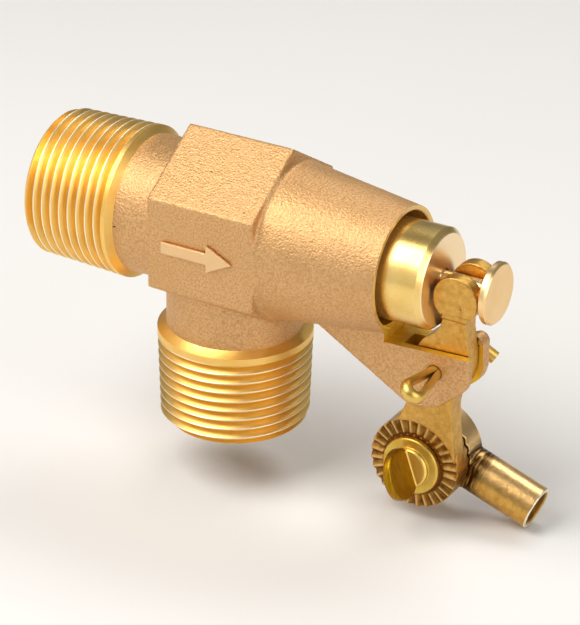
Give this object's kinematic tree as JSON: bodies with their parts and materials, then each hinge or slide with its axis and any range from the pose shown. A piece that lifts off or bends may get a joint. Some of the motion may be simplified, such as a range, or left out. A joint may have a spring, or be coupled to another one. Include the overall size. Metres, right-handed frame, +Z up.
{
  "type": "float valve",
  "caption": "Tee-bodied bronze float valve with male pipe threads, a plunger moved by a forked lever, and an adjustable toothed socket for a float rod.",
  "frame": {"origin": "centre of the inlet nipple's end face, on the axis shared by the inlet, the barrel and the plunger", "axes": "+X from the inlet along the barrel to the button on the plunger stem; +Z up, so the outlet points to -Z; the lever swings in the X-Z plane about its pin along Y; the flow arrow is on the -Y side"},
  "size_m": [0.1136, 0.0344, 0.0777],
  "materials": {
    "cast_bronze": "as cast, fine sand grain; threads and mouth machined bright",
    "machined_brass": "turned, fine tool marks",
    "lever_bronze": "tumbled casting, slightly mottled",
    "screw_brass": "dull cast brass",
    "pin_brass": "drawn wire, bright",
    "seat_brass": "turned",
    "seal_rubber": "moulded black rubber"
  },
  "bodies": {
    "body": {"valve_body": "cast_bronze", "seat_ring": "seat_brass", "cotter_pin": "pin_brass"},
    "plunger": {"plunger": "machined_brass", "plunger_stem": "machined_brass", "seal_disc": "seal_rubber", "disc_washer": "seat_brass", "disc_screw": "seat_brass", "o_ring_inner": "seal_rubber", "o_ring_outer": "seal_rubber"},
    "lever": {"lever": "lever_bronze"},
    "rod_arm": {"rod_arm": "lever_bronze"},
    "thumb_screw": {"thumb_screw": "screw_brass"}
  },
  "joints": [
    {"name": "lever_hinge", "type": "hinge", "parent": "body", "child": "lever", "pos_m": [0.0933, 0, -0.0195], "axis": [0, -1, 0], "range_deg": [0, 24]},
    {"name": "plunger_slide", "type": "slide", "parent": "body", "child": "plunger", "axis": [-1, 0, 0], "range_m": [0, 0.0076]},
    {"name": "rod_arm_angle", "type": "hinge", "parent": "lever", "child": "rod_arm", "pos_m": [0.0876, 0, -0.044], "axis": [0, -1, 0], "range_deg": [-60, 45]},
    {"name": "thumb_screw_turn", "type": "hinge", "parent": "lever", "child": "thumb_screw", "pos_m": [0.0876, 0, -0.044], "axis": [0, -1, 0], "continuous": true}
  ],
  "couplings": [
    {"joint": "plunger_slide", "follows": "lever_hinge", "m_per_rad": 0.018143}
  ]
}
